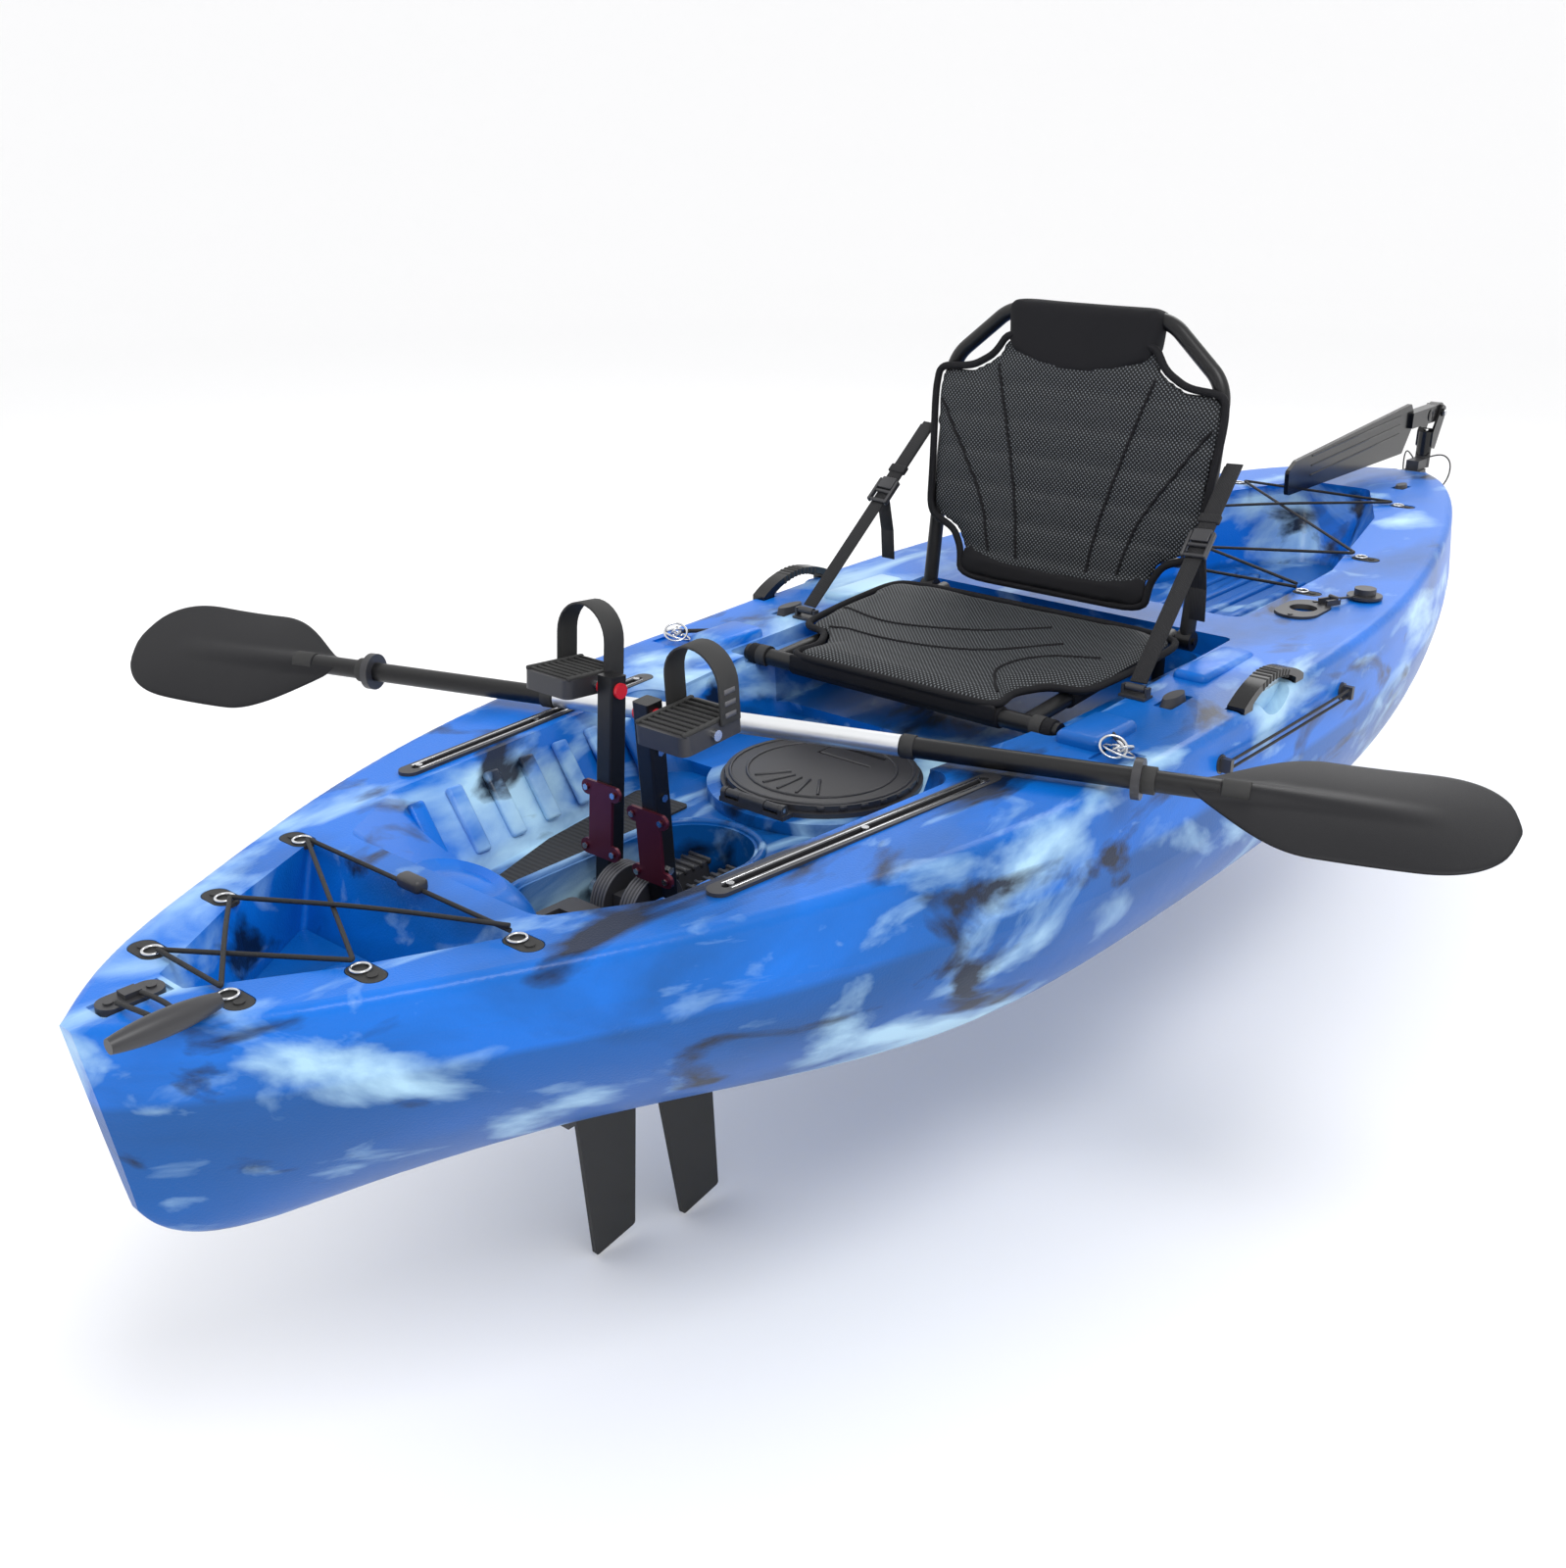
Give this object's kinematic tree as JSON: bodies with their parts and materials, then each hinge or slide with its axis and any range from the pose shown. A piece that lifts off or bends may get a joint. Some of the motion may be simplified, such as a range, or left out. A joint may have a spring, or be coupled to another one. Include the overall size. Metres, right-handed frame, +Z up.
{
  "type": "pedal fin-drive fishing kayak",
  "caption": "Sit-on-top fishing kayak with a pedal fin drive, framed mesh seat, flip-up rudder, deck hatch, rails and paddle.",
  "frame": {"origin": "centreline at mid-length, at the lowest line of the keel", "axes": "+Y aft towards the stern, +X to port, +Z up"},
  "size_m": [1.7188, 3.0639, 1.0448],
  "materials": {
    "blue_hull": "rotomoulded satin",
    "black_plastic": "satin",
    "grey_pad": "matte foam",
    "black_rubber": "matte",
    "bright_steel": "bright",
    "black_tube": "satin powder coat",
    "silver_tube": "anodised",
    "maroon_plate": "anodised",
    "red_bush": "gloss",
    "mesh_fabric": "mesh weave",
    "black_cord": "woven"
  },
  "bodies": {
    "kayak": {"arm_axle": "bright_steel", "bow_bungee": "black_cord", "bow_handle_plate": "black_plastic", "deck_cleats": "black_plastic", "deck_tabs": "black_rubber", "drive_base": "black_plastic", "drive_cables": "bright_steel", "fin_axle": "bright_steel", "footwell_pads": "grey_pad", "front_latch_housing": "black_plastic", "gear_rail_port": "black_plastic", "gear_rail_starboard": "black_plastic", "gunwale_lanyards": "bright_steel", "hatch_ring": "black_plastic", "hinge_pins": "bright_steel", "hull": "blue_hull", "rear_bungee": "black_cord", "rear_housings": "black_plastic", "rod_holder": "black_plastic", "rudder_bracket": "black_plastic", "seat_bar_sleeves": "black_rubber", "seat_base_fabric": "mesh_fabric", "seat_base_frame": "black_tube", "side_handles": "black_plastic", "strap_hooks": "black_plastic", "tab_rings": "bright_steel", "trolley_eyes": "black_plastic", "trolley_line": "black_cord"},
    "port_arm": {"pedal_arm_port": "black_tube", "arm_bracket_port": "maroon_plate", "arm_drum_port": "black_plastic", "pedal_spindle_port": "bright_steel", "spindle_bushes_port": "red_bush"},
    "starboard_arm": {"pedal_arm_starboard": "black_tube", "arm_bracket_starboard": "maroon_plate", "arm_drum_starboard": "black_plastic", "pedal_spindle_starboard": "bright_steel", "spindle_bushes_starboard": "red_bush"},
    "port_pedal": {"pedal_port": "black_plastic", "pedal_strap_port": "black_rubber"},
    "starboard_pedal": {"pedal_starboard": "black_plastic", "pedal_strap_starboard": "black_rubber"},
    "front_fin_body": {"front_fin": "black_rubber"},
    "rear_fin_body": {"rear_fin": "black_rubber"},
    "seat_back": {"seat_back_frame": "black_tube", "seat_back_fabric": "mesh_fabric"},
    "port_strap": {"seat_strap_port": "black_cord"},
    "starboard_strap": {"seat_strap_starboard": "black_cord"},
    "lid": {"hatch_lid": "black_plastic"},
    "lid_latch": {"hatch_latch": "black_plastic"},
    "rod_cap": {"rod_holder_cap": "black_plastic"},
    "rudder_head": {"rudder_yoke": "black_plastic"},
    "rudder": {"rudder_blade": "black_plastic"},
    "toggle": {"bow_toggle": "black_plastic", "bow_toggle_cord": "black_cord"},
    "paddle": {"paddle_centre_tube": "silver_tube", "paddle_shafts": "black_tube", "drip_rings": "black_plastic", "paddle_blade_port": "black_plastic", "paddle_blade_starboard": "black_plastic"}
  },
  "joints": [
    {"name": "port_arm_swing", "type": "hinge", "parent": "kayak", "child": "port_arm", "pos_m": [0.046, -0.865, 0.196], "axis": [1, 0, 0], "range_deg": [-26, 18]},
    {"name": "starboard_arm_swing", "type": "hinge", "parent": "kayak", "child": "starboard_arm", "pos_m": [-0.046, -0.865, 0.196], "axis": [1, 0, 0], "range_deg": [-18, 26]},
    {"name": "front_fin_sweep", "type": "hinge", "parent": "kayak", "child": "front_fin_body", "pos_m": [0, -0.929, -0.026], "axis": [0, 1, 0], "range_deg": [-52, 36]},
    {"name": "rear_fin_sweep", "type": "hinge", "parent": "kayak", "child": "rear_fin_body", "pos_m": [0, -0.801, -0.026], "axis": [0, 1, 0], "range_deg": [-36, 52]},
    {"name": "port_pedal_pitch", "type": "hinge", "parent": "port_arm", "child": "port_pedal", "pos_m": [0.106, -0.88216, 0.4414], "axis": [1, 0, 0], "range_deg": [-25, 25]},
    {"name": "starboard_pedal_pitch", "type": "hinge", "parent": "starboard_arm", "child": "starboard_pedal", "pos_m": [-0.106, -0.84784, 0.4414], "axis": [1, 0, 0], "range_deg": [-25, 25]},
    {"name": "seat_back_fold", "type": "hinge", "parent": "kayak", "child": "seat_back", "pos_m": [0, 0.008, 0.352], "axis": [1, 0, 0], "range_deg": [-12, 40]},
    {"name": "port_strap_swing", "type": "hinge", "parent": "kayak", "child": "port_strap", "pos_m": [0.276, -0.23, 0.35411], "axis": [1, 0, 0], "range_deg": [-7, 22]},
    {"name": "starboard_strap_swing", "type": "hinge", "parent": "kayak", "child": "starboard_strap", "pos_m": [-0.276, -0.23, 0.35411], "axis": [1, 0, 0], "range_deg": [-7, 22]},
    {"name": "hatch_lid_open", "type": "hinge", "parent": "kayak", "child": "lid", "pos_m": [0, -0.662, 0.259], "axis": [1, 0, 0], "range_deg": [0, 45]},
    {"name": "hatch_latch_lift", "type": "hinge", "parent": "lid", "child": "lid_latch", "pos_m": [0, -0.48, 0.2586], "axis": [1, 0, 0], "range_deg": [0, 60]},
    {"name": "rod_cap_flip", "type": "hinge", "parent": "kayak", "child": "rod_cap", "pos_m": [0.3105, 0.3045, 0.36721], "axis": [0.9121, -0.41, 0], "range_deg": [0, 180]},
    {"name": "rudder_yaw", "type": "hinge", "parent": "kayak", "child": "rudder_head", "pos_m": [0, 1.478, 0.38203], "axis": [0, 0, 1], "range_deg": [-30, 30]},
    {"name": "rudder_flip", "type": "hinge", "parent": "rudder_head", "child": "rudder", "pos_m": [0, 1.512, 0.462], "axis": [-1, 0, 0], "range_deg": [0, 245]},
    {"name": "bow_toggle_swing", "type": "hinge", "parent": "kayak", "child": "toggle", "pos_m": [0.0105, -1.47, 0.337], "axis": [0, -1, 0], "range_deg": [0, 95]},
    {"name": "paddle_lift", "type": "slide", "parent": "kayak", "child": "paddle", "axis": [0, 0, 1], "range_m": [0, 0.3]}
  ],
  "couplings": [
    {"joint": "starboard_arm_swing", "follows": "port_arm_swing", "ratio": -1},
    {"joint": "front_fin_sweep", "follows": "port_arm_swing", "ratio": 2},
    {"joint": "rear_fin_sweep", "follows": "port_arm_swing", "ratio": -2},
    {"joint": "port_strap_swing", "follows": "seat_back_fold", "ratio": 0.53},
    {"joint": "starboard_strap_swing", "follows": "seat_back_fold", "ratio": 0.53}
  ]
}
